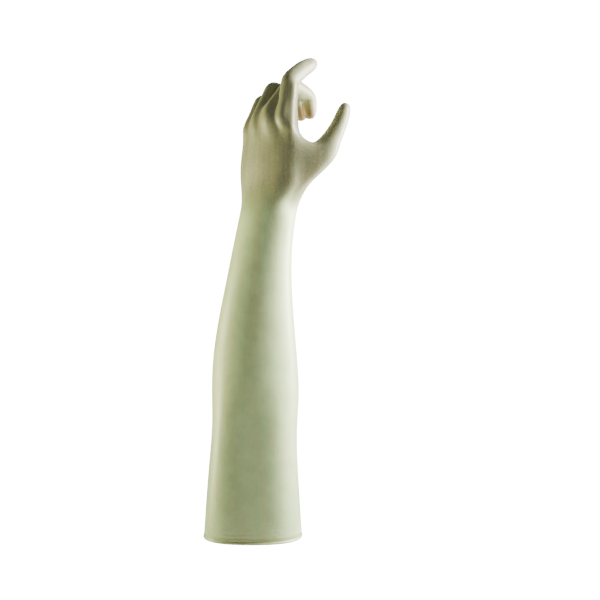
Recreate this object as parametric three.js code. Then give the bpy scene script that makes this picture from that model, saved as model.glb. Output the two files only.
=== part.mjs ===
// A shoulder-length cleanroom glove for the left hand, in its worn shape: one dipped rubber film,
// open at the cuff, with its edge rolled into a bead. Millimetres, +Z from the cuff up to the
// fingers, -Y towards the viewer. The origin is the centre of the cuff opening.
//
// The film starts as a cage of four-sided faces: rings of points up the sleeve and palm, and a loop
// of eight points at each section of a digit. The cage is refined by the Catmull-Clark rule, the
// inner face is set off by the film's thickness, and the bead joins the two faces round the cuff.

import * as THREE from "three";

// Driving dimensions
const SLEEVE_LENGTH = 404; // cuff edge to wrist
const CUFF_WIDTH = 119;
const CUFF_DEPTH = 110;
const WRIST_DRIFT = 19.5; // how far the wrist stands to the right of the cuff's centre
const PALM_LENGTH = 109; // wrist to the middle knuckle
const PALM_WIDTH = 84;
const PALM_DEPTH = 36;
const FINGER_LENGTH = 101; // middle finger, knuckle to tip
const FINGER_WIDTH = 20;
const FINGER_DEPTH = 19;
const THUMB_LENGTH = 119; // root to tip
const THUMB_WIDTH = 22;
const THUMB_DEPTH = 20;
const FILM = 1.2; // film thickness
const BEAD = 3.2; // rolled edge, diameter
const HAND_TURN = 45; // degrees: how far the back of the hand is turned to the viewer's left

// Rings up the sleeve, from the cuff to the wrist. up is a share of the sleeve's length, right of
// the wrist's drift, wide and deep of the cuff's width and depth. turn is in degrees about Z.
// even 1 spaces a ring's points by equal angles, even 0 by equal steps across its width. roll
// turns the thumb's side of the ring towards the palm, in degrees.
const SLEEVE = [
  { up: 0.0, right: 0.0, wide: 1.0, deep: 1.0, turn: 0, even: 1, roll: 0 },
  { up: 0.11, right: 0.01, wide: 0.953, deep: 0.957, turn: 0, even: 1, roll: 0 },
  { up: 0.22, right: 0.02, wide: 0.9, deep: 0.9, turn: 0, even: 1, roll: 0 },
  { up: 0.327, right: 0.11, wide: 0.857, deep: 0.845, turn: 0, even: 1, roll: 0 },
  { up: 0.42, right: 0.165, wide: 0.905, deep: 0.845, turn: 5, even: 1, roll: 0 },
  { up: 0.53, right: 0.11, wide: 0.878, deep: 0.79, turn: 10, even: 1, roll: 0 },
  { up: 0.65, right: 0.18, wide: 0.787, deep: 0.7, turn: 16, even: 1, roll: 0 },
  { up: 0.77, right: 0.36, wide: 0.68, deep: 0.61, turn: 22, even: 1, roll: 0 },
  { up: 0.88, right: 0.6, wide: 0.628, deep: 0.545, turn: 28, even: 0.9, roll: 4 },
  { up: 0.965, right: 0.91, wide: 0.618, deep: 0.52, turn: 32, even: 0.75, roll: 8 },
];

// Rings up the palm, from just above the wrist to below the knuckles. up is a share of the palm's
// length, right of the wrist's drift, wide and deep of the palm's, turn of the hand's turn.
const PALM = [
  { up: 0.02, right: 1.12, wide: 0.95, deep: 1.5, turn: 0.78, even: 0.7, roll: 14 },
  { up: 0.19, right: 1.37, wide: 1.23, deep: 1.36, turn: 0.86, even: 0.55, roll: 22 },
  { up: 0.43, right: 1.1, wide: 1.22, deep: 1.18, turn: 0.96, even: 0.4, roll: 24 },
  { up: 0.74, right: 1.15, wide: 1.12, deep: 1.05, turn: 1.0, even: 0.15, roll: 12 },
];

// Fingers, index to little. out (towards the thumb), over (towards the palm) and up place the
// knuckle, as shares of the palm's width, depth and length. wide and deep are shares of the finger
// width and depth. near, mid and far are the bones' lengths, as shares of the finger length, and
// bend1, bend2 and bend3 are their angles from the line of the hand, in degrees.
const FINGERS = [
  {
    out: 0.38, over: -0.04, up: 0.92, wide: 1.05, deep: 1.1,
    near: 0.465, mid: 0.26, far: 0.25, bend1: 7, bend2: 53, bend3: 61,
  },
  {
    out: 0.118, over: -0.11, up: 0.985, wide: 1.02, deep: 1.16,
    near: 0.5, mid: 0.325, far: 0.285, bend1: 39, bend2: 108, bend3: 176,
  },
  {
    out: -0.148, over: -0.06, up: 0.95, wide: 0.97, deep: 1.02,
    near: 0.465, mid: 0.4, far: 0.265, bend1: 27, bend2: 108, bend3: 150,
  },
  {
    out: -0.385, over: 0.03, up: 0.87, wide: 0.86, deep: 0.92,
    near: 0.395, mid: 0.2, far: 0.215, bend1: 25, bend2: 104, bend3: 160,
  },
];

// Sections along a finger. bone 0, 1 or 2 is the near, mid or far bone, and along is a share of it.
// A section at the start of a bone (along 0) is tilted half-way between that bone and the last.
const FINGER_SECTIONS = [
  { bone: 0, along: 0.8, wide: 1.0, deep: 1.12 },
  { bone: 1, along: 0.0, wide: 1.0, deep: 1.12 },
  { bone: 1, along: 0.42, wide: 0.96, deep: 1.03 },
  { bone: 2, along: 0.0, wide: 0.94, deep: 0.98 },
  { bone: 2, along: 0.34, wide: 0.92, deep: 0.92 },
  { bone: 2, along: 0.74, wide: 0.84, deep: 0.8 },
  { bone: 2, along: 0.97, wide: 0.48, deep: 0.44 },
];

// Thumb, from clear of the palm to the tip. out, over and up are shares of the thumb's length, from
// the wrist's centre. wide and deep are shares of the thumb's.
const THUMB = [
  { out: 0.498, over: 0.31, up: 0.522, wide: 1.2, deep: 1.64 },
  { out: 0.53, over: 0.37, up: 0.645, wide: 1.07, deep: 1.18 },
  { out: 0.556, over: 0.434, up: 0.762, wide: 1.02, deep: 1.0 },
  { out: 0.578, over: 0.484, up: 0.892, wide: 0.98, deep: 0.9 },
  { out: 0.588, over: 0.511, up: 0.983, wide: 0.8, deep: 0.72 },
  { out: 0.592, over: 0.522, up: 1.017, wide: 0.42, deep: 0.36 },
];
const THUMB_ROOT = 0.5; // share of the way from the palm to the first section, for the loop between

// Rings across the fingers: at the knuckles, and at the webs between the fingers. share is a share
// of the near bone, tilt of its bend, wide and deep of the finger's own.
const KNUCKLES = { share: -0.05, tilt: 0.3, wide: 1.12, deep: 1.62 };
const WEBS = { share: 0.36, tilt: 0.9, wide: 0.93, deep: 1.12 };

const COLUMNS = 3; // points that one finger has on each side of a ring
const HALF_RING = COLUMNS * FINGERS.length + 1; // the number of the point at the little finger's end
const RING = 2 * HALF_RING; // points in a ring, numbered from the thumb's end over the palm
const DIGIT = 2 * (COLUMNS + 1); // points in a loop round a finger or the thumb
const BEAD_STEPS = 6; // facets round the bead

// Refining draws a round ring of n points in by this factor, so the cage is drawn larger by it.
const shrinkOf = (n) => (4 + 2 * Math.cos((2 * Math.PI) / n)) / 6;
const RING_SHRINK = shrinkOf(RING);
const DIGIT_SHRINK = shrinkOf(DIGIT);

const radians = (degrees) => THREE.MathUtils.degToRad(degrees);
const sumOf = (points) => points.reduce((sum, p) => sum.add(p), new THREE.Vector3());
const meanOf = (points) => sumOf(points).divideScalar(points.length);

// The hand's own directions: towards the thumb, towards the palm, and along the hand.
const UP = new THREE.Vector3(0, 0, 1);
const OUT = new THREE.Vector3(1, 0, 0).applyAxisAngle(UP, -radians(HAND_TURN));
const OVER = new THREE.Vector3(0, 1, 0).applyAxisAngle(UP, -radians(HAND_TURN));
const WRIST = new THREE.Vector3(WRIST_DRIFT, 0, SLEEVE_LENGTH);

const cage = { points: [], faces: [] };

// Adds a point to the cage and returns its number.
function addPoint(point) {
  return cage.points.push(point) - 1;
}

// Joins two loops of points by a band of four-sided faces, the first below the second.
function addBand(lower, upper) {
  lower.forEach((corner, i) => {
    const next = (i + 1) % lower.length;
    cage.faces.push([corner, lower[next], upper[next], upper[i]]);
  });
}

// One ring of the sleeve or palm: an ellipse, turned about Z.
function ringAt({ x, z, wide, deep, turn, even, roll }) {
  const start = radians(roll);
  return Array.from({ length: RING }, (_, i) => {
    const overPalm = i <= HALF_RING;
    const step = (overPalm ? i : RING - i) / HALF_RING;
    const share = THREE.MathUtils.lerp(Math.acos(1 - 2 * step) / Math.PI, step, even);
    const angle = start + (overPalm ? Math.PI - start : -Math.PI - start) * share;
    const right = ((wide / 2) * Math.cos(angle)) / RING_SHRINK;
    const back = ((deep / 2) * Math.sin(angle)) / RING_SHRINK;
    const point = new THREE.Vector3(right, back, z).applyAxisAngle(UP, -radians(turn));
    point.x += x;
    return addPoint(point);
  });
}

// A point given by its distances from the wrist's centre in the hand's own directions.
function handPoint(out, over, up) {
  return WRIST.clone().addScaledVector(OUT, out).addScaledVector(OVER, over).addScaledVector(UP, up);
}

// The loop of points round a digit: an ellipse from side towards front.
function digitLoop(centre, side, front, wide, deep) {
  return Array.from({ length: DIGIT }, (_, i) => {
    const angle = (2 * Math.PI * i) / DIGIT;
    return centre
      .clone()
      .addScaledVector(side, ((wide / 2) * Math.cos(angle)) / DIGIT_SHRINK)
      .addScaledVector(front, ((deep / 2) * Math.sin(angle)) / DIGIT_SHRINK);
  });
}

// Carries a digit on from its root through its loops, and closes its tip.
function addDigit(root, loops) {
  let below = root;
  for (const loop of loops) {
    const above = loop.map(addPoint);
    addBand(below, above);
    below = above;
  }
  const tip = addPoint(meanOf(loops.at(-1)));
  for (let i = 0; i < DIGIT; i += 2) {
    cage.faces.push([below[i], below[i + 1], tip, below[(i + DIGIT - 1) % DIGIT]]);
  }
}

// A finger's bones as a chain: each one's start, direction, bend and length.
function bonesOf({ out, over, up, near, mid, far, bend1, bend2, bend3 }) {
  const bends = [bend1, bend2, bend3];
  const lengths = [near, mid, far];
  const joint = handPoint(out * PALM_WIDTH, over * PALM_DEPTH, up * PALM_LENGTH);
  return bends.map((bend, i) => {
    const along = UP.clone().applyAxisAngle(OUT, -radians(bend));
    const bone = { start: joint.clone(), along, bend, length: lengths[i] * FINGER_LENGTH };
    joint.addScaledVector(along, bone.length);
    return bone;
  });
}

// The loop round a finger at a share of one of its bones, square to the given bend.
function fingerLoop(finger, bone, share, bend, wide, deep) {
  const centre = bone.start.clone().addScaledVector(bone.along, share * bone.length);
  const front = OVER.clone().applyAxisAngle(OUT, -radians(bend));
  const fullWide = wide * finger.wide * FINGER_WIDTH;
  const fullDeep = deep * finger.deep * FINGER_DEPTH;
  return digitLoop(centre, OUT, front, fullWide, fullDeep);
}

// The numbers in a ring of a finger's points on the palm's side, then of those on the back.
function spotsOf(finger) {
  const first = 1 + COLUMNS * finger;
  const palm = Array.from({ length: COLUMNS }, (_, i) => first + i);
  const back = palm.map((spot) => RING - spot).reverse();
  return { palm, back };
}

// A ring across all the fingers, with each finger's two side points beside it.
function ringAcross({ share, tilt, wide, deep }) {
  const ring = new Array(RING);
  const sides = FINGERS.map((finger, f) => {
    const bone = bonesOf(finger)[0];
    const loop = fingerLoop(finger, bone, share, tilt * bone.bend, wide, deep);
    const { palm, back } = spotsOf(f);
    palm.forEach((spot, i) => (ring[spot] = loop[1 + i]));
    back.forEach((spot, i) => (ring[spot] = loop[COLUMNS + 2 + i]));
    return { thumbwards: loop[0], away: loop[COLUMNS + 1] };
  });
  ring[0] = sides[0].thumbwards;
  ring[HALF_RING] = sides.at(-1).away;
  return { ring, sides };
}

// Sleeve and palm, ring by ring
const BEAD_RISE = BEAD / 2 + Math.sqrt((BEAD / 2) ** 2 - (FILM / 2) ** 2); // where the film leaves it
const sleeveRings = SLEEVE.map((row) =>
  ringAt({
    ...row,
    x: row.right * WRIST_DRIFT,
    z: THREE.MathUtils.lerp(BEAD_RISE, SLEEVE_LENGTH, row.up),
    wide: row.wide * CUFF_WIDTH,
    deep: row.deep * CUFF_DEPTH,
  }),
);
const palmRings = PALM.map((row) =>
  ringAt({
    ...row,
    x: row.right * WRIST_DRIFT,
    z: SLEEVE_LENGTH + row.up * PALM_LENGTH,
    wide: row.wide * PALM_WIDTH,
    deep: row.deep * PALM_DEPTH,
    turn: row.turn * HAND_TURN,
  }),
);
const knuckleRing = ringAcross(KNUCKLES).ring.map(addPoint);
const webs = ringAcross(WEBS);
const webRing = webs.ring.map(addPoint);
const handRings = [...sleeveRings, ...palmRings, knuckleRing, webRing];
handRings.slice(1).forEach((ring, i) => addBand(handRings[i], ring));

// Webs: the finger's two side points, and two faces from each finger to the next
const sideSpots = webs.sides.map(({ thumbwards, away }, f) => ({
  thumbwards: f === 0 ? webRing[0] : addPoint(thumbwards),
  away: f === FINGERS.length - 1 ? webRing[HALF_RING] : addPoint(away),
}));
sideSpots.slice(1).forEach(({ thumbwards: far }, f) => {
  const near = sideSpots[f].away;
  const palm = COLUMNS * (f + 1);
  const back = RING - palm;
  cage.faces.push([webRing[back], near, far, webRing[back - 1]]);
  cage.faces.push([near, webRing[palm], webRing[palm + 1], far]);
});

// Fingers
FINGERS.forEach((finger, f) => {
  const bones = bonesOf(finger);
  const { palm, back } = spotsOf(f);
  const cornersAt = (spots) => spots.map((spot) => webRing[spot]);
  const root = [sideSpots[f].thumbwards, ...cornersAt(palm), sideSpots[f].away, ...cornersAt(back)];
  const loops = FINGER_SECTIONS.map(({ bone, along, wide, deep }) => {
    const here = bones[bone];
    const bend = along === 0 ? (here.bend + bones[bone - 1].bend) / 2 : here.bend;
    return fingerLoop(finger, here, along, bend, wide, deep);
  });
  addDigit(root, loops);
});

// Thumb: it grows from the palm's side, in place of the four faces round one point
const [thumbLow, thumbMid, thumbHigh] = palmRings.slice(1);
const thumbRoot = [
  thumbHigh[0],
  thumbHigh[RING - 1],
  thumbMid[RING - 1],
  thumbLow[RING - 1],
  thumbLow[0],
  thumbLow[1],
  thumbMid[1],
  thumbHigh[1],
];
cage.faces = cage.faces.filter((face) => !face.includes(thumbMid[0]));
const thumbCentres = THUMB.map(({ out, over, up }) =>
  handPoint(out * THUMB_LENGTH, over * THUMB_LENGTH, up * THUMB_LENGTH),
);
const thumbLoops = THUMB.map(({ wide, deep }, i) => {
  const before = thumbCentres[Math.max(i - 1, 0)];
  const after = thumbCentres[Math.min(i + 1, THUMB.length - 1)];
  const along = after.clone().sub(before).normalize();
  const inward = OUT.clone().add(OVER).negate().projectOnPlane(along).normalize();
  const side = along.clone().cross(inward);
  return digitLoop(thumbCentres[i], inward, side, deep * THUMB_DEPTH, wide * THUMB_WIDTH);
});
const rootLoop = thumbRoot.map((corner, i) =>
  cage.points[corner].clone().lerp(thumbLoops[0][i], THUMB_ROOT),
);
addDigit(thumbRoot, [rootLoop, ...thumbLoops]);

// Leaves out the points that no face uses.
function withoutStrays({ points, faces }) {
  const used = [...new Set(faces.flat())];
  const numbers = new Map(used.map((corner, i) => [corner, i]));
  return {
    points: used.map((corner) => points[corner]),
    faces: faces.map((face) => face.map((corner) => numbers.get(corner))),
  };
}

// The cage's edges, each with its two ends and the faces beside it.
function edgesOf({ faces }) {
  const edges = new Map();
  faces.forEach((face, f) => {
    face.forEach((a, i) => {
      const b = face[(i + 1) % face.length];
      const key = Math.min(a, b) + "_" + Math.max(a, b);
      if (!edges.has(key)) edges.set(key, { a, b, faces: [] });
      edges.get(key).faces.push(f);
    });
  });
  return edges;
}

// One Catmull-Clark step: each face becomes four.
function refine({ points, faces }) {
  const edges = edgesOf({ faces });
  const faceMeans = faces.map((face) => meanOf(face.map((i) => points[i])));
  const around = points.map(() => ({ faces: [], middles: [], rim: [] }));
  faces.forEach((face, f) => face.forEach((i) => around[i].faces.push(faceMeans[f])));
  for (const { a, b, faces: beside } of edges.values()) {
    const middle = meanOf([points[a], points[b]]);
    around[a].middles.push(middle);
    around[b].middles.push(middle);
    if (beside.length === 1) {
      around[a].rim.push(points[b]);
      around[b].rim.push(points[a]);
    }
  }
  const refined = points.map((point, i) => {
    const { faces: near, middles, rim } = around[i];
    if (rim.length) return point.clone().multiplyScalar(6).add(sumOf(rim)).divideScalar(8);
    const n = near.length;
    return meanOf(near)
      .addScaledVector(meanOf(middles), 2)
      .addScaledVector(point, n - 3)
      .divideScalar(n);
  });
  const faceNumbers = faceMeans.map((mean) => refined.push(mean.clone()) - 1);
  const edgeNumbers = new Map();
  for (const [key, { a, b, faces: beside }] of edges) {
    const corners = [points[a], points[b]];
    if (beside.length === 2) corners.push(...beside.map((f) => faceMeans[f]));
    edgeNumbers.set(key, refined.push(meanOf(corners)) - 1);
  }
  const edgeNumber = (a, b) => edgeNumbers.get(Math.min(a, b) + "_" + Math.max(a, b));
  const smaller = faces.flatMap((face, f) =>
    face.map((corner, i) => {
      const next = face[(i + 1) % face.length];
      const last = face[(i + face.length - 1) % face.length];
      return [corner, edgeNumber(corner, next), faceNumbers[f], edgeNumber(last, corner)];
    }),
  );
  return { points: refined, faces: smaller };
}

// Moves each point to where it would lie after endless refining.
function settle({ points, faces }) {
  const around = points.map(() => ({ ends: [], corners: [], rim: [] }));
  for (const { a, b, faces: beside } of edgesOf({ faces }).values()) {
    around[a].ends.push(points[b]);
    around[b].ends.push(points[a]);
    if (beside.length === 1) {
      around[a].rim.push(points[b]);
      around[b].rim.push(points[a]);
    }
  }
  for (const face of faces) {
    face.forEach((corner, i) => around[corner].corners.push(points[face[(i + 2) % 4]]));
  }
  const settled = points.map((point, i) => {
    const { ends, corners, rim } = around[i];
    if (rim.length) return point.clone().multiplyScalar(4).add(sumOf(rim)).divideScalar(6);
    const n = corners.length;
    return point
      .clone()
      .multiplyScalar(n * n)
      .addScaledVector(sumOf(ends), 4)
      .add(sumOf(corners))
      .divideScalar(n * (n + 5));
  });
  return { points: settled, faces };
}

// Each point's outward normal.
function normalsOf({ points, faces }) {
  const normals = points.map(() => new THREE.Vector3());
  for (const [a, b, c, d] of faces) {
    const across = points[c].clone().sub(points[a]);
    const normal = across.cross(points[d].clone().sub(points[b]));
    for (const corner of [a, b, c, d]) normals[corner].add(normal);
  }
  return normals.map((normal) => normal.normalize());
}

// The open edge's points, in order round the cuff.
function rimOf({ faces }) {
  const next = new Map();
  for (const { a, b, faces: beside } of edgesOf({ faces }).values()) {
    if (beside.length === 1) next.set(a, b);
  }
  const rim = [next.keys().next().value];
  while (next.get(rim.at(-1)) !== rim[0]) rim.push(next.get(rim.at(-1)));
  return rim;
}

// The film: outer face, inner face, and the bead that joins them at the cuff.
function filmGeometry(skin) {
  const normals = normalsOf(skin);
  const count = skin.points.length;
  const inner = skin.points.map((point, i) => point.clone().addScaledVector(normals[i], -FILM));
  const points = [...skin.points, ...inner];
  const faces = [...skin.faces, ...skin.faces.map((face) => face.map((i) => i + count).reverse())];
  const rim = rimOf(skin);
  const gap = Math.asin(FILM / BEAD); // half the angle that the film takes of the bead
  let above = rim;
  for (let step = 1; step <= BEAD_STEPS; step++) {
    const angle = gap + ((2 * Math.PI - 2 * gap) * step) / BEAD_STEPS;
    const ring = rim.map((i) => {
      if (step === BEAD_STEPS) return i + count;
      const outward = normals[i].clone().setZ(0).normalize();
      const reach = (BEAD / 2) * Math.sin(angle) - FILM / 2;
      const point = skin.points[i].clone().addScaledVector(outward, reach);
      point.z = BEAD / 2 + (BEAD / 2) * Math.cos(angle);
      return points.push(point) - 1;
    });
    above.forEach((a, i) => {
      const next = (i + 1) % above.length;
      faces.push([a, ring[i], ring[next], above[next]]);
    });
    above = ring;
  }
  const geometry = new THREE.BufferGeometry();
  geometry.setFromPoints(points);
  geometry.setIndex(faces.flatMap(([a, b, c, d]) => [a, b, c, a, c, d]));
  geometry.computeVertexNormals();
  return geometry;
}

const latex = new THREE.MeshStandardMaterial({ color: 0xd5d7bd, roughness: 0.48, metalness: 0 });
const glove = new THREE.Mesh(filmGeometry(settle(refine(withoutStrays(cage)))), latex);
glove.name = "glove";

const part = new THREE.Group();
part.add(glove);
export default part;
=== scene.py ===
"""The looks of a shoulder-length cleanroom glove for the left hand, in its worn shape.

The glove is one dipped latex film. It is modelled from the cuff up: a ring is extruded up the
sleeve and palm, the webs are closed between the fingers, each digit is extruded from its opening,
and the cage is refined. Then the film is squared at the lower sleeve, creased, rippled and
smoothed, gets its wall, and its edge is rolled into a bead. Metres, +Z from the cuff up to the
fingers, -Y towards the viewer.
"""

import logging
import math
from collections.abc import Iterable, Sequence
from dataclasses import dataclass, field
from enum import Enum

import bmesh
import bpy
import numpy as np
from mathutils import Matrix, Quaternion, Vector
from mathutils.bvhtree import BVHTree


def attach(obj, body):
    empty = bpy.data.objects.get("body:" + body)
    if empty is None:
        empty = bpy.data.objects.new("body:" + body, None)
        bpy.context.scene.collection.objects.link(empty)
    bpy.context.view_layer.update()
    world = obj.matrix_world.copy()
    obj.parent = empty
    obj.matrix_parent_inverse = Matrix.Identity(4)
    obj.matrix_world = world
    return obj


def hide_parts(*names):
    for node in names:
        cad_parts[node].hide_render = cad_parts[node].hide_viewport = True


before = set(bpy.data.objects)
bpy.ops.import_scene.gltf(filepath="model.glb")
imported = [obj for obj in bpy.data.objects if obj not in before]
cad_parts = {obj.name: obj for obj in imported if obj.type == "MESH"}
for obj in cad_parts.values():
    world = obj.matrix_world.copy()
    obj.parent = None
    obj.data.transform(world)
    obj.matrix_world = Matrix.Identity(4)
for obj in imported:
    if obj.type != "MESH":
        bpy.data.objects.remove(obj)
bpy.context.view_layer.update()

Loop = list[int]
Pair = tuple[float, float]
Triple = tuple[float, float, float]
Colour = Triple
Piece = bpy.types.Object
Socket = bpy.types.NodeSocket

log = logging.getLogger("glove")

MM = 0.001
UP = Vector((0.0, 0.0, 1.0))
COLUMNS = 3  # corners that one finger has on each side of a ring
FINGER_COUNT = 4
HALF_RING = COLUMNS * FINGER_COUNT + 1  # the corner at the little finger's end of a ring
RING = 2 * HALF_RING
DIGIT = 2 * (COLUMNS + 1)  # corners in a loop round a digit
REFINING = 3  # subdivision levels
FILM = 1.2 * MM  # the film's thickness
SLEEVE_LENGTH = 404 * MM
WRIST_OFF = 19.5 * MM  # how far the wrist stands to the right of the cuff
SAME_PLACE = MM / 100  # corners nearer than this are one
NOISE_RANGE = (0.35, 0.65)  # where most of a noise texture's values lie
BLEND_INPUTS = (0, 6, 7)  # a colour mix node's factor and its two colours
BLEND_RESULT = 2


class Skin(Enum):
    """The surfaces of the film, by their place in the piece's material list."""

    OUTER = 0
    INNER = 1
    BEAD = 2


def mix(a: float, b: float, share: float) -> float:
    """The value that lies a share of the way from a to b."""
    return a + (b - a) * share


def turned(vector: Vector, axis: Vector, degrees: float) -> Vector:
    """A copy of the vector, turned about an axis."""
    return Matrix.Rotation(math.radians(degrees), 3, axis) @ vector


def modify(piece: Piece, kind: str, **values: object) -> None:
    """Adds a modifier with these values to a piece and applies it."""
    modifier = piece.modifiers.new(kind.title(), kind)
    for key, value in values.items():
        setattr(modifier, key, value)
    bpy.context.view_layer.objects.active = piece
    bpy.ops.object.modifier_apply(modifier=modifier.name)


def shrink_of(corners: int) -> float:
    """How far refining draws in a round ring of that many corners, so that it is made larger."""
    return (4 + 2 * math.cos(2 * math.pi / corners)) / 6


@dataclass(frozen=True)
class Ring:
    """One ring of the sleeve or palm.

    up, right, wide and deep are shares of the sizes that the ring belongs to. turn is about Z, in
    degrees for the sleeve and as a share of the hand's turn for the palm. even 1 spaces the corners
    by equal angles, even 0 by equal steps across. roll turns the thumb's side towards the palm.
    """

    up: float
    right: float
    wide: float
    deep: float
    turn: float
    even: float = 1.0
    roll: float = 0.0


@dataclass(frozen=True)
class Section:
    """One section of a finger: its bone, its place along it, and its shares of width and depth."""

    bone: int
    along: float
    wide: float
    deep: float


@dataclass(frozen=True)
class Across:
    """A ring across all the fingers, as shares of each finger's first bone and girth."""

    share: float
    tilt: float
    wide: float
    deep: float


@dataclass(frozen=True)
class Bone:
    """One bone of a finger: where it starts, its direction, bend and length."""

    start: Vector
    along: Vector
    bend: float
    length: float


@dataclass(frozen=True)
class Hand:
    """The sizes and directions that the palm, fingers and thumb share."""

    turn: float = 45.0
    wrist: Vector = field(default_factory=lambda: Vector((WRIST_OFF, 0.0, SLEEVE_LENGTH)))
    palm_length: float = 109 * MM
    palm_width: float = 84 * MM
    palm_depth: float = 36 * MM

    @property
    def out(self) -> Vector:
        """The direction towards the thumb."""
        return turned(Vector((1.0, 0.0, 0.0)), UP, -self.turn)

    @property
    def over(self) -> Vector:
        """The direction towards the palm."""
        return turned(Vector((0.0, 1.0, 0.0)), UP, -self.turn)

    def point(self, out: float, over: float, up: float) -> Vector:
        """A point by its distances from the wrist's centre in the hand's own directions."""
        return self.wrist + self.out * out + self.over * over + UP * up

    def loop(self, centre: Vector, side: Vector, front: Vector, girth: Pair) -> list[Vector]:
        """The corners of a loop round a digit.

        Args:
            centre: The loop's centre.
            side: The direction of the first corner.
            front: The direction of the corner a quarter of the way round.
            girth: The width along side and the depth along front.

        Returns:
            The corners in order.
        """
        wide, deep = (size / 2 / shrink_of(DIGIT) for size in girth)
        angles = [2 * math.pi * i / DIGIT for i in range(DIGIT)]
        return [centre + side * wide * math.cos(a) + front * deep * math.sin(a) for a in angles]


class Workbench:
    """One mesh in edit mode, whose corners are known by lasting numbers."""

    def __init__(self, name: str, corners: int, radius: float) -> None:
        """Adds the first ring.

        Args:
            name: The object's name.
            corners: How many corners the ring has.
            radius: The ring's radius.
        """
        bpy.ops.object.select_all(action="DESELECT")
        bpy.ops.mesh.primitive_circle_add(vertices=corners, radius=radius, fill_type="NOTHING")
        self.piece = bpy.context.object
        self.piece.name = name
        self.piece.data.name = name
        bpy.ops.object.mode_set(mode="EDIT")
        bpy.ops.mesh.select_mode(type="VERT")
        mesh = self.mesh()
        numbers = mesh.verts.layers.int.new("corner")
        for i, corner in enumerate(mesh.verts):
            corner[numbers] = i
        self.count = corners
        bmesh.update_edit_mesh(self.piece.data)

    def mesh(self) -> bmesh.types.BMesh:
        """The mesh that is being edited, kept so that its corners stay valid."""
        self.edited = bmesh.from_edit_mesh(self.piece.data)
        return self.edited

    def corners(self) -> dict[int, bmesh.types.BMVert]:
        """The mesh's corners by number."""
        mesh = self.mesh()
        numbers = mesh.verts.layers.int["corner"]
        return {corner[numbers]: corner for corner in mesh.verts}

    def pick(self, loop: Iterable[int]) -> None:
        """Selects these corners, with the edges and faces between them, and nothing else."""
        bpy.ops.mesh.select_all(action="DESELECT")
        corners = self.corners()
        for number in loop:
            corners[number].select_set(True)
        self.mesh().select_flush(True)
        bmesh.update_edit_mesh(self.piece.data)

    def place(self, loop: Sequence[int], places: Sequence[Vector]) -> None:
        """Moves each of these corners to its place."""
        for number, target in zip(loop, places, strict=True):
            self.pick([number])
            step = target - self.corners()[number].co
            bpy.ops.transform.translate(value=step)

    def extrude(self, loop: Sequence[int], places: Sequence[Vector]) -> Loop:
        """Extrudes a loop of edges and moves the new corners to their places.

        Args:
            loop: The corners of the loop, in order.
            places: Where the new corners go, in the same order.

        Returns:
            The new corners' numbers, in the same order.
        """
        self.pick(loop)
        bpy.ops.mesh.extrude_edges_move()
        mesh = self.mesh()
        numbers = mesh.verts.layers.int["corner"]
        renamed: dict[int, int] = {}
        for corner in mesh.verts:
            if corner.select:
                renamed[corner[numbers]] = self.count
                corner[numbers] = self.count
                self.count += 1
        bmesh.update_edit_mesh(self.piece.data)
        new = [renamed[number] for number in loop]
        self.place(new, places)
        return new

    def bridge_point(self, a: int, b: int, place: Vector) -> int:
        """Joins two corners by an edge, halves it, and moves the new corner to its place.

        Args:
            a: One corner.
            b: The other.
            place: Where the new corner goes.

        Returns:
            The new corner's number.
        """
        self.pick([a, b])
        corners = self.corners()
        ends = [corners[a].co.copy(), corners[b].co.copy()]
        bpy.ops.mesh.edge_face_add()
        bpy.ops.mesh.subdivide(number_cuts=1)
        mesh = self.mesh()
        numbers = mesh.verts.layers.int["corner"]
        for corner in mesh.verts:
            if corner.select and min((corner.co - end).length for end in ends) > SAME_PLACE:
                corner[numbers] = self.count
                self.count += 1
        bmesh.update_edit_mesh(self.piece.data)
        self.place([self.count - 1], [place])
        return self.count - 1

    def face(self, loop: Iterable[int]) -> None:
        """Fills a face between these corners."""
        self.pick(loop)
        bpy.ops.mesh.edge_face_add()

    def cap(self, loop: Sequence[int]) -> None:
        """Closes a loop by a grid of faces."""
        self.pick(loop)
        bpy.ops.mesh.fill_grid(span=2)

    def drop_faces(self, corner: int) -> None:
        """Deletes the faces round a corner."""
        bpy.ops.mesh.select_all(action="DESELECT")
        for face in self.corners()[corner].link_faces:
            face.select_set(True)
        bmesh.update_edit_mesh(self.piece.data)
        bpy.ops.mesh.delete(type="ONLY_FACE")

    def finish(self, stray: int) -> Piece:
        """Drops a stray corner, turns all faces outwards and leaves edit mode.

        Args:
            stray: The corner that no face uses any more.

        Returns:
            The object.
        """
        self.pick([stray])
        bpy.ops.mesh.delete(type="VERT")
        bpy.ops.mesh.select_all(action="SELECT")
        bpy.ops.mesh.remove_doubles(threshold=SAME_PLACE)
        bpy.ops.mesh.normals_make_consistent(inside=False)
        bpy.ops.object.mode_set(mode="OBJECT")
        return self.piece


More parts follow.
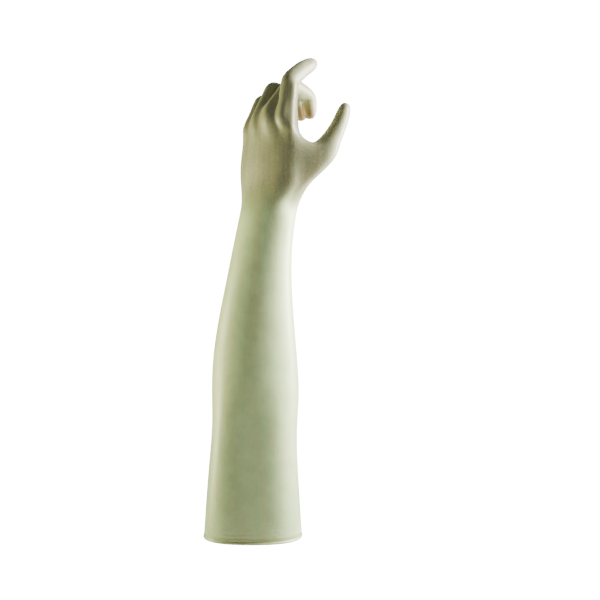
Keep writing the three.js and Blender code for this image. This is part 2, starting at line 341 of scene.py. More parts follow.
@dataclass(frozen=True)
class Sleeve:
    """The sleeve, from the cuff's edge to the wrist."""

    length: float = SLEEVE_LENGTH
    width: float = 119 * MM
    depth: float = 110 * MM
    drift: float = WRIST_OFF
    edge: float = 3.083 * MM  # where the film leaves the bead
    rings: tuple[Ring, ...] = (
        Ring(0.0, 0.0, 1.0, 1.0, 0),
        Ring(0.027, 0.002, 0.99, 0.991, 0),
        Ring(0.06, 0.005, 0.974, 0.977, 0),
        Ring(0.11, 0.01, 0.953, 0.957, 0),
        Ring(0.22, 0.02, 0.9, 0.9, 0),
        Ring(0.327, 0.11, 0.857, 0.845, 0),
        Ring(0.42, 0.165, 0.905, 0.845, 5),
        Ring(0.53, 0.11, 0.878, 0.79, 10),
        Ring(0.65, 0.18, 0.787, 0.7, 16),
        Ring(0.77, 0.36, 0.68, 0.61, 22),
        Ring(0.88, 0.6, 0.628, 0.545, 28, 0.9, 4),
        Ring(0.965, 0.91, 0.618, 0.52, 32, 0.75, 8),
    )

    def places(self, ring: Ring) -> list[Vector]:
        """The corners of one of the sleeve's rings."""
        centre = Vector((ring.right * self.drift, 0.0, mix(self.edge, self.length, ring.up)))
        return ring_places(ring, centre, (ring.wide * self.width, ring.deep * self.depth), ring.turn)

    def build(self, bench: Workbench) -> Loop:
        """Places the cuff's ring and extrudes it up to the wrist.

        Args:
            bench: The workbench, with the first ring on it.

        Returns:
            The ring at the wrist.
        """
        loop = list(range(RING))
        bench.place(loop, self.places(self.rings[0]))
        for ring in self.rings[1:]:
            loop = bench.extrude(loop, self.places(ring))
        return loop


def ring_places(ring: Ring, centre: Vector, girth: Pair, turn: float) -> list[Vector]:
    """The corners of a ring of the sleeve or palm: an ellipse, turned about Z.

    Args:
        ring: The ring's spacing and roll.
        centre: Its centre.
        girth: Its width and depth.
        turn: Its turn in degrees.

    Returns:
        The corners in order, from the thumb's end over the palm.
    """
    start = math.radians(ring.roll)
    wide, deep = (size / 2 / shrink_of(RING) for size in girth)
    places = []
    for i in range(RING):
        over_palm = i <= HALF_RING
        step = (i if over_palm else RING - i) / HALF_RING
        share = mix(math.acos(1 - 2 * step) / math.pi, step, ring.even)
        angle = start + (math.pi - start if over_palm else -math.pi - start) * share
        corner = Vector((wide * math.cos(angle), deep * math.sin(angle), 0.0))
        places.append(centre + turned(corner, UP, -turn))
    return places


@dataclass(frozen=True)
class Palm:
    """The palm and the back of the hand, from the wrist to below the knuckles."""

    hand: Hand
    drift: float = WRIST_OFF
    rings: tuple[Ring, ...] = (
        Ring(0.02, 1.12, 0.95, 1.5, 0.78, 0.7, 14),
        Ring(0.19, 1.37, 1.23, 1.36, 0.86, 0.55, 22),
        Ring(0.43, 1.1, 1.22, 1.18, 0.96, 0.4, 24),
        Ring(0.74, 1.15, 1.12, 1.05, 1.0, 0.15, 12),
    )

    def build(self, bench: Workbench, wrist: Loop) -> list[Loop]:
        """Extrudes the palm's rings from the wrist.

        Args:
            bench: The workbench.
            wrist: The ring at the wrist.

        Returns:
            The palm's rings.
        """
        loops = [wrist]
        for ring in self.rings:
            up = self.hand.wrist.z + ring.up * self.hand.palm_length
            centre = Vector((ring.right * self.drift, 0.0, up))
            girth = (ring.wide * self.hand.palm_width, ring.deep * self.hand.palm_depth)
            places = ring_places(ring, centre, girth, ring.turn * self.hand.turn)
            loops.append(bench.extrude(loops[-1], places))
        return loops[1:]


@dataclass(frozen=True)
class Finger:
    """One finger, by shares of the palm's sizes and of the middle finger's.

    out, over and up place its knuckle. near, mid and far are its bones' lengths, and bends their
    angles from the line of the hand, in degrees.
    """

    hand: Hand
    out: float
    over: float
    up: float
    wide: float
    deep: float
    near: float
    mid: float
    far: float
    bends: Triple
    length: float = 101 * MM
    width: float = 20 * MM
    depth: float = 19 * MM
    sections: tuple[Section, ...] = (
        Section(0, 0.8, 1.0, 1.12),
        Section(1, 0.0, 1.0, 1.12),
        Section(1, 0.42, 0.96, 1.03),
        Section(2, 0.0, 0.94, 0.98),
        Section(2, 0.34, 0.92, 0.92),
        Section(2, 0.74, 0.84, 0.8),
        Section(2, 0.97, 0.48, 0.44),
    )

    def bones(self) -> list[Bone]:
        """The finger's bones as a chain from the knuckle."""
        hand = self.hand
        joint = hand.point(
            self.out * hand.palm_width, self.over * hand.palm_depth, self.up * hand.palm_length
        )
        chain = []
        for bend, share in zip(self.bends, (self.near, self.mid, self.far), strict=True):
            along = turned(UP, hand.out, -bend)
            chain.append(Bone(joint.copy(), along, bend, share * self.length))
            joint = joint + along * share * self.length
        return chain

    def loop_at(self, bone: Bone, share: float, bend: float, girth: Pair) -> list[Vector]:
        """The corners of a loop round the finger.

        Args:
            bone: The bone that it is on.
            share: Its place along the bone.
            bend: The bend that it is square to, in degrees.
            girth: Its width and depth, as shares of the finger's own.

        Returns:
            The corners in order, from the thumb's side over the palm's.
        """
        centre = bone.start + bone.along * share * bone.length
        front = turned(self.hand.over, self.hand.out, -bend)
        full = (girth[0] * self.wide * self.width, girth[1] * self.deep * self.depth)
        return self.hand.loop(centre, self.hand.out, front, full)

    def build(self, bench: Workbench, root: Loop) -> None:
        """Extrudes the finger from its opening and closes its tip."""
        bones = self.bones()
        loop = root
        for section in self.sections:
            bone = bones[section.bone]
            bend = bone.bend
            if section.along == 0:
                bend = mix(bend, bones[section.bone - 1].bend, 0.5)
            places = self.loop_at(bone, section.along, bend, (section.wide, section.deep))
            loop = bench.extrude(loop, places)
        bench.cap(loop)


@dataclass(frozen=True)
class Thumb:
    """The thumb, from clear of the palm to its tip.

    path has its centres' shares of the thumb's length out, over and up from the wrist's centre, and
    girths its shares of width and depth there.
    """

    hand: Hand
    length: float = 119 * MM
    width: float = 22 * MM
    depth: float = 20 * MM
    root_share: float = 0.5
    path: tuple[Triple, ...] = (
        (0.498, 0.31, 0.522),
        (0.53, 0.37, 0.645),
        (0.556, 0.434, 0.762),
        (0.578, 0.484, 0.892),
        (0.588, 0.511, 0.983),
        (0.592, 0.522, 1.017),
    )
    girths: tuple[Pair, ...] = (
        (1.2, 1.64),
        (1.07, 1.18),
        (1.02, 1.0),
        (0.98, 0.9),
        (0.8, 0.72),
        (0.42, 0.36),
    )

    def loops(self) -> list[list[Vector]]:
        """The corners of each loop round the thumb."""
        centres = [self.hand.point(*(share * self.length for share in row)) for row in self.path]
        loops = []
        for i, (wide, deep) in enumerate(self.girths):
            before = centres[max(i - 1, 0)]
            after = centres[min(i + 1, len(centres) - 1)]
            along = (after - before).normalized()
            inward = -(self.hand.out + self.hand.over)
            inward = (inward - along * inward.dot(along)).normalized()
            girth = (deep * self.depth, wide * self.width)
            loops.append(self.hand.loop(centres[i], inward, along.cross(inward), girth))
        return loops

    def build(self, bench: Workbench, palm: list[Loop]) -> int:
        """Extrudes the thumb from the palm's side, in place of the faces round one corner.

        Args:
            bench: The workbench.
            palm: The palm's rings.

        Returns:
            The corner that no face uses any more.
        """
        low, middle, high = palm[1:]
        bench.drop_faces(middle[0])
        root = [high[0], high[-1], middle[-1], low[-1], low[0], low[1], middle[1], high[1]]
        loops = self.loops()
        corners = bench.corners()
        first = [
            corners[number].co.lerp(place, self.root_share)
            for number, place in zip(root, loops[0], strict=True)
        ]
        loop = bench.extrude(root, first)
        for places in loops:
            loop = bench.extrude(loop, places)
        bench.cap(loop)
        return middle[0]


@dataclass(frozen=True)
class Knuckles:
    """The rings across the fingers, the webs between them, and the fingers themselves."""

    hand: Hand
    knuckles: Across = Across(-0.05, 0.3, 1.12, 1.62)
    webs: Across = Across(0.36, 0.9, 0.93, 1.12)

    @property
    def fingers(self) -> tuple[Finger, ...]:
        """The fingers, index to little."""
        hand = self.hand
        return (
            Finger(hand, 0.38, -0.04, 0.92, 1.05, 1.1, 0.465, 0.26, 0.25, (7, 53, 61)),
            Finger(hand, 0.118, -0.11, 0.985, 1.02, 1.16, 0.5, 0.325, 0.285, (39, 108, 176)),
            Finger(hand, -0.148, -0.06, 0.95, 0.97, 1.02, 0.465, 0.4, 0.265, (27, 108, 150)),
            Finger(hand, -0.385, 0.03, 0.87, 0.86, 0.92, 0.395, 0.2, 0.215, (25, 104, 160)),
        )

    @staticmethod
    def spots(finger: int) -> tuple[Loop, Loop]:
        """The corners of a ring that are one finger's, on the palm's side and on the back."""
        palm = [1 + COLUMNS * finger + i for i in range(COLUMNS)]
        return palm, [RING - spot for spot in reversed(palm)]

    def places(self, across: Across) -> tuple[list[Vector], list[tuple[Vector, Vector]]]:
        """The corners of a ring across the fingers.

        Args:
            across: The ring's place and girth.

        Returns:
            The ring's corners, and each finger's two side points.
        """
        ring: list[Vector] = [Vector()] * RING
        sides = []
        for f, finger in enumerate(self.fingers):
            bone = finger.bones()[0]
            girth = (across.wide, across.deep)
            loop = finger.loop_at(bone, across.share, across.tilt * bone.bend, girth)
            palm, back = self.spots(f)
            for i in range(COLUMNS):
                ring[palm[i]] = loop[1 + i]
                ring[back[i]] = loop[COLUMNS + 2 + i]
            sides.append((loop[0], loop[COLUMNS + 1]))
        ring[0] = sides[0][0]
        ring[HALF_RING] = sides[-1][1]
        return ring, sides

    def build(self, bench: Workbench, palm: Loop) -> None:
        """Extrudes the knuckles and webs, closes the webs, and builds each finger."""
        loop = bench.extrude(palm, self.places(self.knuckles)[0])
        ring, sides = self.places(self.webs)
        loop = bench.extrude(loop, ring)
        thumbwards = [loop[0]]
        away = []
        for f in range(FINGER_COUNT - 1):
            palm_spot = COLUMNS * (f + 1)
            back_spot = RING - palm_spot
            near = bench.bridge_point(loop[back_spot], loop[palm_spot], sides[f][1])
            far = bench.bridge_point(loop[back_spot - 1], loop[palm_spot + 1], sides[f + 1][0])
            bench.face([loop[back_spot], near, far, loop[back_spot - 1]])
            bench.face([near, loop[palm_spot], loop[palm_spot + 1], far])
            away.append(near)
            thumbwards.append(far)
        away.append(loop[HALF_RING])
        for f, finger in enumerate(self.fingers):
            palm_part, back_part = ([loop[i] for i in spots] for spots in self.spots(f))
            finger.build(bench, [thumbwards[f], *palm_part, away[f], *back_part])


@dataclass(frozen=True)
class Crease:
    """A furrow or a swelling pressed into the film's front along a path.

    path has the points as they are seen from the front: the distance to the right and the height,
    in millimetres. reach is half the crease's width and depth how deep it goes, both in
    millimetres, and a depth under 0 raises the film.
    """

    path: tuple[Pair, ...]
    reach: float
    depth: float

    def on_film(self, tree: BVHTree) -> list[np.ndarray]:
        """The path's points on the film, found by looking in from the front."""
        look = Vector((0.0, 1.0, 0.0))
        starts = [Vector((right, 0.0, up)) * MM - look for right, up in self.path]
        hits = [tree.ray_cast(start, look)[0] for start in starts]
        return [np.array(hit) for hit in hits if hit is not None]

    def press(self, places: np.ndarray, normals: np.ndarray, tree: BVHTree) -> None:
        """Moves the film's points in along their normals.

        Args:
            places: The film's points, which are changed.
            normals: Their normals.
            tree: The film as it was, to find the path on.
        """
        weight = np.zeros(len(places))
        points = self.on_film(tree)
        for a, b in zip(points, points[1:], strict=False):
            along = b - a
            share = np.clip((places - a) @ along / (along @ along), 0, 1)
            away = np.linalg.norm(places - a - share[:, None] * along, axis=1)
            weight = np.maximum(weight, np.exp(-((away / (self.reach * MM)) ** 2) * 2))
        places -= normals * (weight * self.depth * MM)[:, None]


@dataclass(frozen=True)
class Smoothing:
    """A place where the film bridges the hollows below it and shows no ridge.

    middle and reach are in millimetres, and rounds is how often the film is smoothed there.
    """

    middle: Triple
    reach: float
    rounds: int
    strength: float = 0.5

    def smooth(self, piece: Piece) -> None:
        """Smooths the film round the middle, less towards the reach."""
        group = piece.vertex_groups.new(name="smoothed")
        middle = Vector(self.middle) * MM
        for point in piece.data.vertices:
            away = (point.co - middle).length / (self.reach * MM)
            if away < 1:
                group.add([point.index], 1 - away * away, "REPLACE")
        modify(piece, "SMOOTH", factor=self.strength, iterations=self.rounds, vertex_group=group.name)
        piece.vertex_groups.clear()


@dataclass(frozen=True)
class Ripples:
    """The fine rings round the cuff, where the film slid together when the bead was rolled.

    drifts has the waves that the rings wander by round the cuff: how far, how often and from where.
    """

    top: float = 30 * MM
    low: float = 5 * MM
    pitch: float = 4.6 * MM
    height: float = 0.42 * MM
    wide_pitch: float = 1.7
    drifts: tuple[tuple[float, int, float], ...] = ((0.9, 2, 0.6), (0.5, 5, 2.1), (0.3, 9, 0.0))

    def press(self, places: np.ndarray, normals: np.ndarray) -> None:
        """Waves the film near the cuff, most at the bead."""
        up = places[:, 2]
        angle = np.arctan2(places[:, 1], places[:, 0])
        drift = sum(far * np.sin(often * angle + start) for far, often, start in self.drifts)
        wave = np.sin(2 * np.pi * up / self.pitch + drift)
        wave += np.sin(2 * np.pi * up / (self.pitch * self.wide_pitch) - 1.4 * drift + 1.0) / 2
        fade = np.clip(1 - up / self.top, 0, 1) ** 1.3 * np.clip(up / self.low, 0.2, 1)
        patch = 0.65 + 0.35 * np.sin(3 * angle + 1.2)
        places += normals * (self.height * wave * fade * patch)[:, None]


@dataclass(frozen=True)
class Squareness:
    """The lower sleeve's section, which is flatter in front and behind than an ellipse.

    bulge is how far the film stands proud of the ellipse between the middles of its sides, as a
    share of the radius, and shares is how much of it there is at each of the heights.
    """

    heights: tuple[float, ...] = (0.0, 45 * MM, 125 * MM, 205 * MM)
    shares: tuple[float, ...] = (0.5, 1.0, 1.0, 0.0)
    bulge: float = 0.1

    def press(self, places: np.ndarray) -> None:
        """Moves the film out between the middles of its front, back and sides."""
        share = np.interp(places[:, 2], self.heights, self.shares)
        share = share * share * (3 - 2 * share)
        angle = np.arctan2(places[:, 1], places[:, 0])
        grow = 1 + self.bulge * share * np.sin(2 * angle) ** 2
        places[:, :2] *= grow[:, None]


@dataclass(frozen=True)
class Bead:
    """The rolled edge of the cuff."""

    diameter: float = 3.2 * MM
    film: float = FILM
    steps: int = 12

    def build(self, piece: Piece, outer: int) -> None:
        """Rolls the bead from the film's outer edge round to its inner edge.

        Args:
            piece: The glove, whose two edges at the cuff are open.
            outer: How many points the outer face has. They come first.
        """
        bpy.ops.object.mode_set(mode="EDIT")
        bpy.ops.mesh.select_mode(type="EDGE")
        radius = self.diameter / 2
        gap = math.asin(self.film / self.diameter)
        mesh = bmesh.from_edit_mesh(piece.data)
        rims = [edge for edge in mesh.edges if edge.is_boundary]
        outer_rim = [edge for edge in rims if edge.verts[0].index < outer]
        half = max(edge.verts[0].co.x for edge in outer_rim)
        deep = max(edge.verts[0].co.y for edge in outer_rim)
        bpy.ops.mesh.select_all(action="DESELECT")
        for edge in outer_rim:
            edge.select_set(True)
        bmesh.update_edit_mesh(piece.data)
        reach, height = 0.0, radius + radius * math.cos(gap)
        for step in range(1, self.steps):
            angle = gap + (2 * math.pi - 2 * gap) * step / self.steps
            next_reach = radius * math.sin(angle) - self.film / 2
            next_height = radius + radius * math.cos(angle)
            bpy.ops.mesh.extrude_edges_move()
            bpy.ops.transform.resize(
                value=((half + next_reach) / (half + reach), (deep + next_reach) / (deep + reach), 1),
                center_override=(0.0, 0.0, height),
            )
            bpy.ops.transform.translate(value=(0.0, 0.0, next_height - height))
            reach, height = next_reach, next_height
        mesh = bmesh.from_edit_mesh(piece.data)
        for edge in mesh.edges:
            if edge.is_boundary:
                edge.select_set(True)
        bmesh.update_edit_mesh(piece.data)
        bpy.ops.mesh.bridge_edge_loops()
        bpy.ops.object.mode_set(mode="OBJECT")


class Sockets:
    """Short ways to build a node tree."""

    def __init__(self, tree: bpy.types.NodeTree) -> None:
        """Keeps the tree that nodes are added to."""
        self.tree = tree

    def add(self, kind: str, **values: object) -> bpy.types.Node:
        """Adds a node and sets its properties by name."""
        node = self.tree.nodes.new(kind)
        for key, value in values.items():
            setattr(node, key, value)
        return node

    def feed(self, socket: Socket, value: object) -> None:
        """Links an input to another socket, or sets it to a value."""
        if isinstance(value, Socket):
            self.tree.links.new(value, socket)
        else:
            socket.default_value = value

    def put(self, node: bpy.types.Node, **inputs: object) -> None:
        """Feeds a node's inputs by name, with _ for a space."""
        for key, value in inputs.items():
            self.feed(node.inputs[key.replace("_", " ")], value)

    def math(self, operation: str, a: object, b: object = 0.0) -> Socket:
        """Adds a maths node for two values and returns its output."""
        node = self.add("ShaderNodeMath", operation=operation)
        for socket, value in zip(node.inputs, (a, b), strict=False):
            self.feed(socket, value)
        return node.outputs[0]

    def height(self, place: object) -> Socket:
        """Takes the height out of a place."""
        node = self.add("ShaderNodeSeparateXYZ")
        self.put(node, Vector=place)
        return node.outputs["Z"]

    def span(self, value: object, low: float, high: float, a: float = 0.0, b: float = 1.0) -> Socket:
        """Maps a value from low..high to a..b with a soft start and end."""
        node = self.add("ShaderNodeMapRange", interpolation_type="SMOOTHSTEP")
        self.put(node, Value=value, From_Min=low, From_Max=high, To_Min=a, To_Max=b)
        return node.outputs["Result"]

    def noise(self, place: object, scale: float, detail: float = 2.0, rough: float = 0.5) -> Socket:
        """Adds a noise texture at a place and returns its value."""
        node = self.add("ShaderNodeTexNoise")
        self.put(node, Vector=place, Scale=scale, Detail=detail, Roughness=rough)
        return node.outputs[0]

    def stretched(self, place: object, scale: Triple) -> Socket:
        """Scales a place by axis and returns it."""
        node = self.add("ShaderNodeMapping")
        self.put(node, Vector=place, Scale=scale)
        return node.outputs[0]

    def grey(self, value: Socket) -> Socket:
        """Makes a grey from a value and returns it."""
        node = self.add("ShaderNodeCombineColor")
        self.put(node, Red=value, Green=value, Blue=value)
        return node.outputs[0]

    def blend(self, factor: object, a: object, b: object, kind: str = "MIX") -> Socket:
        """Blends two colours and returns the result."""
        node = self.add("ShaderNodeMix", data_type="RGBA", blend_type=kind)
        for index, value in zip(BLEND_INPUTS, (factor, a, b), strict=True):
            self.feed(node.inputs[index], value)
        return node.outputs[BLEND_RESULT]


def rgba(colour: Colour) -> tuple[float, float, float, float]:
    """The colour with full alpha."""
    return (*colour, 1.0)


def group_with(name: str, inputs: dict[str, str], outputs: dict[str, str]) -> bpy.types.NodeTree:
    """A new shader node group with named sockets.

    Args:
        name: The group's name.
        inputs: Each input's kind, by name.
        outputs: Each output's kind, by name.

    Returns:
        The group, with its input and output nodes.
    """
    group = bpy.data.node_groups.new(name, "ShaderNodeTree")
    for side, sockets in (("INPUT", inputs), ("OUTPUT", outputs)):
        for key, kind in sockets.items():
            group.interface.new_socket(key, in_out=side, socket_type=f"NodeSocket{kind}")
    group.nodes.new("NodeGroupInput")
    group.nodes.new("NodeGroupOutput")
    return group


@dataclass
class FilmToneAndPaintedShade:
    """The latex film's colour: sage on the sleeve, taupe on the hand, amber where it is thick, with
    painted shade.

    wrist and the two ranges of the sleeve are heights above the cuff's edge; over the ranges the sleeve
    gets painted shade, darker towards the cuff and lighter towards the wrist. edge is the distance from
    the dark line of painted shadow above the bead, at its height, and the fingertip reach the distance
    from the curled fingertips, which get painted shade in dark brown, all in metres. The scales, streak
    and mottle belong to the noise.
    """

    tree: bpy.types.NodeTree = field(init=False)
    wrist: Pair = (0.38, 0.435)
    wander: float = 0.06
    # painted shade: the sleeve is drawn darker towards the cuff and lighter towards the wrist, for the
    # light that falls off towards the cuff
    lower_sleeve: Pair = (0.02, 0.2)
    upper_sleeve: Pair = (0.2, 0.37)
    cuff_painted_shade: float = 0.8
    upper_painted_light: float = 1.24
    # painted shadow: a dark line in the groove just above the bead
    edge_height: float = 0.0055
    edge: Pair = (0.0032, 0.0012)
    painted_shadow_colour: Colour = (0.3, 0.33, 0.12)
    # painted shade: the curled fingertips, which lie in shade, are painted dark brown
    fingertips: Triple = (0.066, 0.0276, 0.5185)
    fingertip_stretch: Triple = (1.0, 0.6, 1.0)
    pool: Pair = (0.02, 0.009)
    pool_colour: Colour = (0.16, 0.082, 0.012)
    drift_scale: Triple = (14.0, 14.0, 6.0)
    streak_scale: Triple = (95.0, 95.0, 2.2)
    streak: Pair = (0.4, 0.68)
    mottle_scale: float = 42.0
    mottle: Pair = (0.95, 1.04)

    def __post_init__(self) -> None:
        """Builds the node group."""
        self.tree = group_with(
            "film_tone",
            {"Place": "Vector", "Sleeve": "Color", "Hand": "Color", "Amber": "Color", "Streaks": "Float"},
            {"Color": "Color", "Gloss": "Float"},
        )
        net = Sockets(self.tree)
        given = self.tree.nodes["Group Input"].outputs
        place = given["Place"]
        height = net.height(place)
        drift = net.math("SUBTRACT", net.noise(net.stretched(place, self.drift_scale), 1.0, 3.0), 0.5)
        wandering = net.math("ADD", height, net.math("MULTIPLY", drift, self.wander))
        hand = net.span(wandering, *self.wrist)
        # painted shade up the sleeve: darker at the cuff, lighter towards the wrist
        upper = net.span(height, *self.upper_sleeve, 1.0, self.upper_painted_light)
        lower = net.span(height, *self.lower_sleeve, self.cuff_painted_shade, 1.0)
        pale = net.grey(net.math("MULTIPLY", upper, lower))
        colour = net.blend(1.0, given["Sleeve"], pale, "MULTIPLY")
        colour = net.blend(hand, colour, given["Hand"])
        streak = net.noise(net.stretched(place, self.streak_scale), 1.0, 3.0, 0.6)
        streaky = net.math("MULTIPLY", net.span(streak, *self.streak), given["Streaks"])
        colour = net.blend(streaky, colour, given["Amber"])
        mottle = net.noise(place, self.mottle_scale, 4.0, 0.6)
        shade = net.span(mottle, *NOISE_RANGE, *self.mottle)
        colour = net.blend(1.0, colour, net.grey(shade), "MULTIPLY")
        # painted shadow: the dark line above the bead
        off_painted_shadow = net.math("ABSOLUTE", net.math("SUBTRACT", height, self.edge_height))
        colour = net.blend(net.span(off_painted_shadow, *self.edge, 0.0, 0.7), colour, rgba(self.painted_shadow_colour))
        # painted shade on the curled fingertips
        off = net.add("ShaderNodeVectorMath", operation="DISTANCE")
        net.feed(off.inputs[0], net.stretched(place, self.fingertip_stretch))
        net.feed(off.inputs[1], self.fingertips)
        pooled = net.span(off.outputs["Value"], *self.pool, 0.0, 0.92)
        colour = net.blend(pooled, colour, rgba(self.pool_colour))
        gloss = net.math("ADD", net.math("MULTIPLY", mottle, 0.5), net.math("MULTIPLY", streak, 0.5))
        net.put(self.tree.nodes["Group Output"], Color=colour, Gloss=gloss)


@dataclass
class FilmRelief:
    """The latex film's fine relief: grain, flow marks, small wrinkles and cuff rings.

    wrist and cuff are heights above the cuff's edge, where the wrinkles begin and the rings end.
    The scales belong to the noise, sway is how far it wanders, and line_width the wrinkles' share.
    """

    tree: bpy.types.NodeTree = field(init=False)
    wrist: Pair = (0.38, 0.43)
    cuff: Pair = (0.045, 0.004)
    grain_scale: float = 1500.0
    flow_scale: Triple = (60.0, 60.0, 7.0)
    wrinkle_scale: Triple = (55.0, 55.0, 210.0)
    ring_scale: Triple = (7.0, 7.0, 420.0)
    sway: float = 0.02
    sway_scale: float = 30.0
    line_width: float = 0.07

    def __post_init__(self) -> None:
        """Builds the node group."""
        self.tree = group_with(
            "film_relief",
            {"Place": "Vector", "Grain": "Float", "Flow": "Float", "Wrinkles": "Float", "Rings": "Float"},
            {"Height": "Float"},
        )
        net = Sockets(self.tree)
        given = self.tree.nodes["Group Input"].outputs
        place = given["Place"]
        height = net.height(place)
        grain = net.math("MULTIPLY", net.noise(place, self.grain_scale, 2.0), given["Grain"])
        flow = net.noise(net.stretched(place, self.flow_scale), 1.0, 3.0)
        flow = net.math("MULTIPLY", flow, given["Flow"])
        bent = net.add("ShaderNodeVectorMath", operation="ADD")
        sway = net.add("ShaderNodeTexNoise")
        net.put(sway, Vector=place, Scale=self.sway_scale, Detail=2.0)
        small = net.add("ShaderNodeVectorMath", operation="SCALE")
        net.put(small, Vector=sway.outputs[1], Scale=self.sway)
        net.feed(bent.inputs[0], place)
        net.feed(bent.inputs[1], small.outputs[0])
        fine = net.noise(net.stretched(bent.outputs[0], self.wrinkle_scale), 1.0, 2.0, 0.45)
        ridge = net.math("ABSOLUTE", net.math("SUBTRACT", fine, 0.5))
        lines = net.span(ridge, 0.0, self.line_width)
        on_hand = net.span(height, *self.wrist)
        wrinkles = net.math("MULTIPLY", net.math("MULTIPLY", lines, on_hand), given["Wrinkles"])
        bands = net.noise(net.stretched(bent.outputs[0], self.ring_scale), 1.0, 2.0, 0.5)
        near_cuff = net.span(height, *self.cuff)
        rings = net.math("MULTIPLY", net.math("MULTIPLY", bands, near_cuff), given["Rings"])
        total = net.math("ADD", net.math("ADD", grain, flow), net.math("ADD", wrinkles, rings))
        net.put(self.tree.nodes["Group Output"], Height=total)


@dataclass(frozen=True)
class Latex:
    """One finish of the film: its colours, gloss and relief."""

    name: str
    sleeve: Colour
    hand: Colour
    amber: Colour
    streaks: float = 0.25
    roughness: Pair = (0.4, 0.52)
    subsurface: float = 0.25
    sheen: float = 0.15
    grain: float = 0.06
    flow: float = 0.5
    wrinkles: float = 0.12
    rings: float = 0.6

    def material(self, tone: FilmToneAndPaintedShade, relief: FilmRelief) -> bpy.types.Material:
        """Makes the material.

        Args:
            tone: The colour group that the finishes share.
            relief: The relief group that they share.

        Returns:
            The material.
        """
        material = bpy.data.materials.new(self.name)
        material.use_nodes = True
        net = Sockets(material.node_tree)
        shader = net.tree.nodes["Principled BSDF"]
        place = net.add("ShaderNodeTexCoord").outputs["Object"]
        colour = net.add("ShaderNodeGroup", node_tree=tone.tree)
        net.put(
            colour,
            Place=place,
            Sleeve=rgba(self.sleeve),
            Hand=rgba(self.hand),
            Amber=rgba(self.amber),
            Streaks=self.streaks,
        )
        height = net.add("ShaderNodeGroup", node_tree=relief.tree)
        net.put(
            height,
            Place=place,
            Grain=self.grain,
            Flow=self.flow,
            Wrinkles=self.wrinkles,
            Rings=self.rings,
        )
        bump = net.add("ShaderNodeBump")
        net.put(bump, Height=height.outputs["Height"], Strength=1.0, Distance=0.5 * MM)
        rough = net.span(colour.outputs["Gloss"], *NOISE_RANGE, *self.roughness)
        net.put(shader, Base_Color=colour.outputs["Color"], Roughness=rough, Normal=bump.outputs[0])
        net.put(
            shader,
            IOR=1.5,
            Subsurface_Weight=self.subsurface,
            Subsurface_Radius=(1.0, 0.9, 0.5),
            Subsurface_Scale=2.5 * MM,
            Sheen_Weight=self.sheen,
            Sheen_Roughness=0.5,
            Coat_Weight=0.06,
            Coat_Roughness=0.3,
        )
        return material


@dataclass(frozen=True)
class Finishes:
    """The three finishes of the film: its outer face, its inner face, and the bead, whose paler colour is
    a painted highlight.
    """

    outer: Latex = Latex("latex outer face", (0.48, 0.62, 0.3), (0.27, 0.285, 0.15), (0.6, 0.5, 0.2))
    inner: Latex = Latex(
        "latex inner face",
        (0.64, 0.68, 0.48),
        (0.54, 0.53, 0.38),
        (0.62, 0.54, 0.3),
        roughness=(0.55, 0.65),
        wrinkles=0.1,
        rings=0.3,
    )
    # painted highlight: the bead is coloured paler than the film, for its lit top
    bead: Latex = Latex(
        "latex bead with painted highlight",
        (0.9, 0.9, 0.55),
        (0.9, 0.9, 0.55),
        (0.8, 0.66, 0.3),
        streaks=0.4,
        subsurface=0.35,
        flow=0.2,
        wrinkles=0.0,
        rings=0.9,
    )

    def dress(self, piece: Piece) -> None:
        """Gives the piece its materials, in the order of the skins."""
        tone, relief = FilmToneAndPaintedShade(), FilmRelief()
        piece.data.materials.clear()
        for finish in (self.outer, self.inner, self.bead):
            piece.data.materials.append(finish.material(tone, relief))


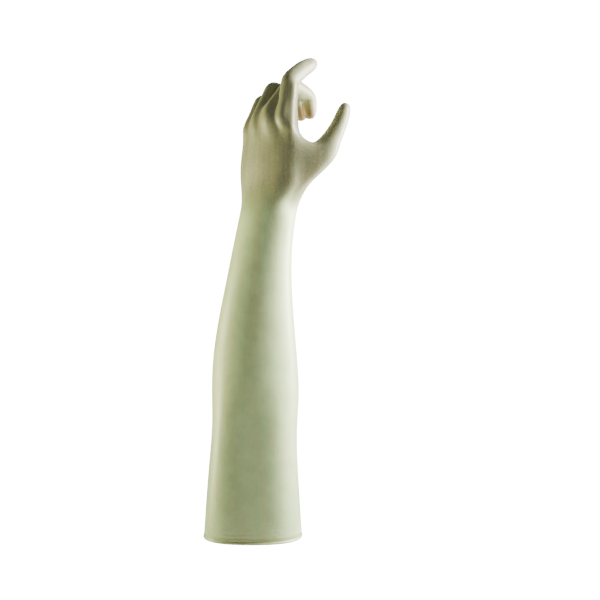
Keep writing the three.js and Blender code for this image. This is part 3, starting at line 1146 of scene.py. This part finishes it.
@dataclass(frozen=True)
class Glove:
    """The whole glove as one seamless film."""

    hand: Hand = field(default_factory=Hand)
    film: float = FILM
    low: float = 100 * MM  # faces below this are the sleeve's and tell which way the film looks
    sleeve: Sleeve = field(default_factory=Sleeve)
    bead: Bead = field(default_factory=Bead)
    squareness: Squareness = field(default_factory=Squareness)
    ripples: Ripples = field(default_factory=Ripples)
    finishes: Finishes = field(default_factory=Finishes)
    creases: tuple[Crease, ...] = (
        Crease(((50, 404), (56, 418), (62, 436)), 22, 6.0),
        Crease(((47, 490), (48, 515), (50, 543)), 6.5, -2.4),
    )
    smoothings: tuple[Smoothing, ...] = (
        Smoothing((50, -24, 440), 34, 60),
        Smoothing((68, -40, 450), 28, 80),
        Smoothing((14, -6, 496), 26, 16),
        Smoothing((49, -27, 546), 14, 12),
    )

    def build(self) -> Piece:
        """Models the film, from the cage to the bead.

        Returns:
            The finished piece.
        """
        bench = Workbench("glove_film", RING, self.sleeve.width / 2)
        wrist = self.sleeve.build(bench)
        palm = Palm(self.hand).build(bench, wrist)
        Knuckles(self.hand).build(bench, palm[-1])
        stray = Thumb(self.hand).build(bench, palm)
        piece = bench.finish(stray)
        modify(piece, "SUBSURF", levels=REFINING, render_levels=REFINING)
        self.face_outwards(piece)
        self.press(piece)
        for smoothing in self.smoothings:
            smoothing.smooth(piece)
        outer = len(piece.data.vertices)
        outer_faces = len(piece.data.polygons)
        modify(
            piece, "SOLIDIFY", thickness=self.film, offset=-1.0, use_rim=False, use_quality_normals=True
        )
        walls = len(piece.data.polygons)
        self.bead.build(piece, outer)
        for i, face in enumerate(piece.data.polygons):
            skin = Skin.OUTER if i < outer_faces else Skin.INNER if i < walls else Skin.BEAD
            face.material_index = skin.value
        bpy.ops.object.shade_smooth()
        return piece

    def face_outwards(self, piece: Piece) -> None:
        """Flips the film if its faces look into the sleeve."""
        sleeve = [face for face in piece.data.polygons if face.center.z < self.low]
        outward = sum(face.normal.xy.dot(face.center.xy) for face in sleeve)
        if outward < 0:
            piece.data.flip_normals()

    def press(self, piece: Piece) -> None:
        """Presses the creases, the lower sleeve's section and the ripples into the film."""
        mesh = piece.data
        places = np.empty(len(mesh.vertices) * 3)
        normals = np.empty(len(mesh.vertices) * 3)
        mesh.vertices.foreach_get("co", places)
        mesh.vertex_normals.foreach_get("vector", normals)
        places, normals = places.reshape(-1, 3), normals.reshape(-1, 3)
        tree = BVHTree.FromPolygons(places.tolist(), [list(face.vertices) for face in mesh.polygons])
        for crease in self.creases:
            crease.press(places, normals, tree)
        self.squareness.press(places)
        self.ripples.press(places, normals)
        mesh.vertices.foreach_set("co", places.ravel())
        mesh.update()


@dataclass(frozen=True)
class SoftBox:
    """One soft light, which looks at the middle of the glove.

    size is its width and height in metres, power is in watts, and lean is how far its top leans
    towards the viewer's side, in degrees.
    """

    name: str
    place: Triple
    size: Pair
    lean: float
    power: float
    colour: Colour = (1.0, 1.0, 1.0)
    aim: Triple = (0.02, 0.0, 0.3)

    def build(self) -> None:
        """Makes the light."""
        data = bpy.data.lights.new(self.name, "AREA")
        data.shape = "RECTANGLE"
        data.size, data.size_y = self.size
        data.energy = self.power
        data.color = self.colour
        box = bpy.data.objects.new(self.name, data)
        bpy.context.scene.collection.objects.link(box)
        box.location = self.place
        look = Vector(self.aim) - Vector(self.place)
        leaning = Quaternion(UP, math.radians(self.lean))
        box.rotation_euler = (look.to_track_quat("-Z", "Y") @ leaning).to_euler()
        box.visible_camera = False


@dataclass(frozen=True)
class Studio:
    """The floor, the soft lights and the camera at the photograph's angle.

    glow is how strong the white surroundings are as light, and ground how strong they look.
    """

    floor_height: float = -0.35
    floor_radius: float = 0.9
    floor_corners: int = 96
    floor_rim: float = 0.02
    floor_shades: Pair = (0.82, 0.86)
    distance: float = 1.38
    aim: Pair = (57.15 * MM, 286.98 * MM)
    lens: float = 68.09
    sensor: float = 36.0
    glow: float = 0.2
    ground: float = 20.0
    lights: tuple[SoftBox, ...] = (
        SoftBox("key", (0.95, 0.14, 0.6), (0.14, 0.9), 34, 90.0, (1.0, 0.98, 0.91)),
        SoftBox("rim", (-0.95, 0.24, 0.26), (0.4, 0.5), -20, 21.0, (1.0, 0.97, 0.5)),
        SoftBox("fill", (-0.5, -1.9, 0.9), (1.5, 1.5), 0, 1.2),
    )

    def build(self) -> None:
        """Makes the floor, lights, surroundings and camera."""
        self.floor()
        self.camera()
        self.surroundings()
        for light in self.lights:
            light.build()

    def floor(self) -> None:
        """Makes the pale round floor."""
        bpy.ops.object.select_all(action="DESELECT")
        bpy.ops.mesh.primitive_circle_add(
            vertices=self.floor_corners, radius=self.floor_radius, fill_type="NGON"
        )
        floor = bpy.context.object
        floor.name = "floor"
        bpy.ops.object.mode_set(mode="EDIT")
        bpy.ops.mesh.select_all(action="SELECT")
        bpy.ops.transform.translate(value=(0.0, 0.0, self.floor_height))
        bpy.ops.mesh.inset(thickness=self.floor_rim)
        bpy.ops.object.mode_set(mode="OBJECT")
        material = bpy.data.materials.new("pale floor")
        material.use_nodes = True
        net = Sockets(material.node_tree)
        place = net.add("ShaderNodeTexCoord").outputs["Object"]
        cloud = net.span(net.noise(place, 3.0), 0.3, 0.7, *self.floor_shades)
        shader = net.tree.nodes["Principled BSDF"]
        net.put(shader, Base_Color=net.grey(cloud), Roughness=0.8)
        floor.data.materials.append(material)

    def camera(self) -> None:
        """Makes the level camera."""
        data = bpy.data.cameras.new("camera")
        data.lens = self.lens
        data.sensor_width = self.sensor
        camera = bpy.data.objects.new("camera", data)
        bpy.context.scene.collection.objects.link(camera)
        camera.location = (self.aim[0], -self.distance, self.aim[1])
        camera.rotation_euler = (math.pi / 2, 0.0, 0.0)
        bpy.context.scene.camera = camera

    def surroundings(self) -> None:
        """Makes the white surroundings, which light the glove less than they show."""
        scene = bpy.context.scene
        scene.view_settings.view_transform = "AgX"
        world = bpy.data.worlds.new("studio")
        scene.world = world
        world.use_nodes = True
        net = Sockets(world.node_tree)
        path = net.add("ShaderNodeLightPath")
        strength = net.span(path.outputs["Is Camera Ray"], 0.0, 1.0, self.glow, self.ground)
        net.put(net.tree.nodes["Background"], Color=(1.0, 1.0, 1.0, 1.0), Strength=strength)


def main() -> None:
    """Builds the studio and the glove."""
    logging.basicConfig(level=logging.INFO)
    Studio().build()
    glove = Glove()
    piece = glove.build()
    glove.finishes.dress(piece)
    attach(piece, "root")
    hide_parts("glove")
    triangles = sum(len(face.vertices) - 2 for face in piece.data.polygons)
    log.info("%s: %d triangles", piece.name, triangles)


if __name__ == "__main__":
    main()
